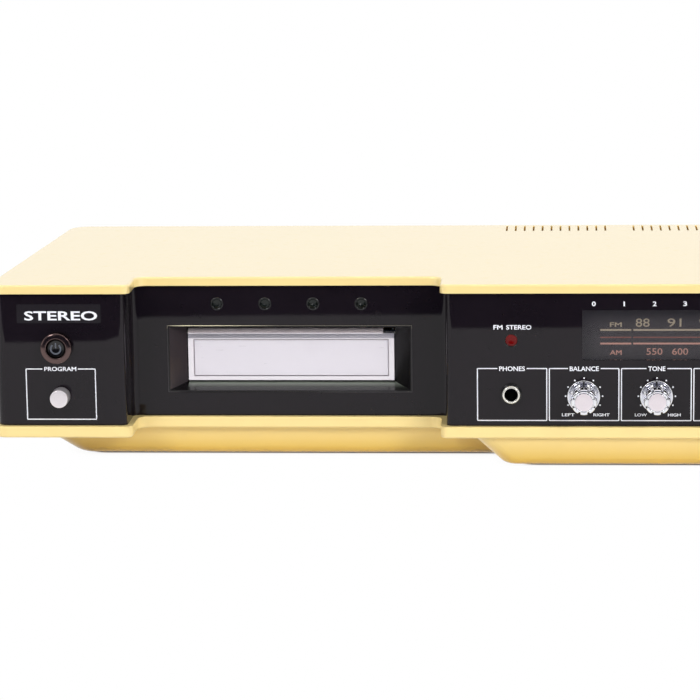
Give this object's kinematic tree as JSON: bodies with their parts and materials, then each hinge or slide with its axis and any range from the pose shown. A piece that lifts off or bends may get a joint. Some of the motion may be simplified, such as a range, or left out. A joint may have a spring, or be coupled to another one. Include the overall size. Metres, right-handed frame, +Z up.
{
  "type": "8 track player",
  "caption": "Low table-top eight-track cartridge player with AM/FM tuner, stepped-back cartridge bay, sprung flap door, push buttons and turning dials.",
  "frame": {"origin": "middle of the footprint, on the surface it stands on", "axes": "+X to the right as the user sees the front, +Y from the front into the set, +Z up"},
  "size_m": [0.581, 0.218, 0.0954],
  "materials": {
    "yellow_shell": "semi-gloss moulded plastic",
    "black_panel": "high gloss black moulding",
    "black_plastic": "matt black moulding",
    "silver_door": "satin silver",
    "brushed_plate": "brushed",
    "steel": "zinc-plated sheet",
    "spring_steel": "drawn wire",
    "chrome": "bright chrome",
    "gunmetal": "dark chrome",
    "black_button": "gloss black",
    "nickel": "nickel plate",
    "shaft_steel": "turned steel",
    "smoked_lens": "smoked clear acrylic",
    "dial_face": "printed dial",
    "pointer_red": "red enamel",
    "lamp_lens": "dark green lens",
    "red_lens": "red lens",
    "zinc": "zinc-plated case",
    "brass": "turned brass",
    "white_nylon": "natural nylon",
    "head_metal": "ground face",
    "board": "phenolic board with its parts",
    "aluminium_fins": "bare aluminium",
    "transformer_iron": "varnished laminations",
    "ferrite": "sintered ferrite",
    "cord_white": "braided dial cord",
    "rubber": "black rubber",
    "screw_steel": "zinc-plated screws"
  },
  "bodies": {
    "chassis": {"top_cover": "yellow_shell", "bottom_case": "yellow_shell", "front_panel": "black_panel", "slot_frame": "black_panel", "cartridge_bay": "black_plastic", "push_switches": "black_plastic", "antenna_terminals": "black_plastic", "cord_gland": "black_plastic", "cord_pulleys": "black_plastic", "transport_deck": "steel", "dial_chassis": "steel", "rear_panel": "steel", "pointer_rail": "steel", "door_spring": "spring_steel", "power_bezel": "gunmetal", "phones_jack": "nickel", "speaker_jacks": "nickel", "dial_window": "smoked_lens", "dial_plate": "dial_face", "program_lamps": "lamp_lens", "stereo_lamp": "red_lens", "control_pots": "zinc", "drive_motor": "zinc", "program_solenoid": "zinc", "capstan_bearing": "brass", "main_board": "board", "heat_sink": "aluminium_fins", "tuning_gang": "aluminium_fins", "power_transformer": "transformer_iron", "ferrite_rod": "ferrite", "dial_cord": "cord_white", "rubber_feet": "rubber", "drive_belt": "rubber", "case_screws": "screw_steel"},
    "door": {"cartridge_door": "silver_door", "door_plate": "brushed_plate", "hinge_pin": "steel"},
    "power_button": {"power_button": "black_button"},
    "program_button": {"program_button": "brushed_plate"},
    "balance_control": {"balance_knob": "chrome", "balance_shaft": "shaft_steel"},
    "tone_control": {"tone_knob": "chrome", "tone_shaft": "shaft_steel"},
    "selector_control": {"selector_knob": "chrome", "selector_shaft": "shaft_steel"},
    "volume_control": {"volume_knob": "chrome", "volume_shaft": "shaft_steel"},
    "tuning_control": {"tuning_knob": "chrome", "tuning_shaft": "shaft_steel"},
    "tuning_drum": {"dial_drum": "black_plastic", "tuning_rotor": "aluminium_fins"},
    "pointer": {"dial_pointer": "pointer_red"},
    "flywheel": {"flywheel": "steel"},
    "motor_pulley": {"motor_pulley": "brass"},
    "cam": {"program_cam": "white_nylon"},
    "head": {"head_carriage": "zinc", "playback_head": "head_metal"},
    "plunger": {"solenoid_plunger": "shaft_steel"},
    "latch": {"latch_arm": "black_plastic"}
  },
  "joints": [
    {"name": "door_swing", "type": "hinge", "parent": "chassis", "child": "door", "pos_m": [-0.139, -0.0548, 0.064], "axis": [1, 0, 0], "range_deg": [0, 85], "stiffness_Nm_per_rad": 0.004, "springref_deg": -17.19},
    {"name": "power_press", "type": "slide", "parent": "chassis", "child": "power_button", "axis": [0, 1, 0], "range_m": [0, 0.0025], "stiffness_N_per_m": 400, "springref_m": -0.001},
    {"name": "program_press", "type": "slide", "parent": "chassis", "child": "program_button", "axis": [0, 1, 0], "range_m": [0, 0.003], "stiffness_N_per_m": 350, "springref_m": -0.001},
    {"name": "balance_turn", "type": "hinge", "parent": "chassis", "child": "balance_control", "pos_m": [0.012, -0.091, 0.0377], "axis": [0, 1, 0], "range_deg": [-150, 150]},
    {"name": "tone_turn", "type": "hinge", "parent": "chassis", "child": "tone_control", "pos_m": [0.0486, -0.091, 0.0377], "axis": [0, 1, 0], "range_deg": [-150, 150]},
    {"name": "selector_turn", "type": "hinge", "parent": "chassis", "child": "selector_control", "pos_m": [0.0852, -0.091, 0.0377], "axis": [0, 1, 0], "range_deg": [-45, 45]},
    {"name": "volume_turn", "type": "hinge", "parent": "chassis", "child": "volume_control", "pos_m": [0.1218, -0.091, 0.0377], "axis": [0, 1, 0], "range_deg": [-150, 150]},
    {"name": "tuning_turn", "type": "hinge", "parent": "chassis", "child": "tuning_control", "pos_m": [0.231, -0.091, 0.0567], "axis": [0, 1, 0], "range_deg": [-787, 787]},
    {"name": "drum_turn", "type": "hinge", "parent": "chassis", "child": "tuning_drum", "pos_m": [0.17, -0.0726, 0.045], "axis": [0, 1, 0], "range_deg": [-90, 90]},
    {"name": "pointer_travel", "type": "slide", "parent": "chassis", "child": "pointer", "axis": [1, 0, 0], "range_m": [-0.0552, 0.0552]},
    {"name": "flywheel_spin", "type": "hinge", "parent": "chassis", "child": "flywheel", "pos_m": [-0.105, 0.046, 0.026], "axis": [0, 0, 1], "continuous": true},
    {"name": "pulley_spin", "type": "hinge", "parent": "chassis", "child": "motor_pulley", "pos_m": [-0.19, 0.067, 0.026], "axis": [0, 0, 1], "continuous": true},
    {"name": "cam_turn", "type": "hinge", "parent": "chassis", "child": "cam", "pos_m": [-0.15, 0.056, 0.038], "axis": [0, 0, 1], "range_deg": [0, 271]},
    {"name": "head_lift", "type": "slide", "parent": "chassis", "child": "head", "axis": [0, 0, 1], "range_m": [0, 0.0024], "stiffness_N_per_m": 2, "springref_m": 0.1103},
    {"name": "plunger_pull", "type": "slide", "parent": "chassis", "child": "plunger", "axis": [1, 0, 0], "range_m": [0, 0.003], "stiffness_N_per_m": 200, "springref_m": -0.001},
    {"name": "latch_swing", "type": "hinge", "parent": "chassis", "child": "latch", "pos_m": [-0.075, -0.011, 0.045], "axis": [0, 0, -1], "range_deg": [0, 10], "stiffness_Nm_per_rad": 0.02, "springref_deg": -5.73}
  ],
  "couplings": [
    {"joint": "drum_turn", "follows": "tuning_turn", "ratio": 0.1122},
    {"joint": "pointer_travel", "follows": "tuning_turn", "m_per_rad": 0.004},
    {"joint": "pulley_spin", "follows": "flywheel_spin", "ratio": 5},
    {"joint": "cam_turn", "follows": "head_lift", "rad_per_m": 1963.5}
  ]
}
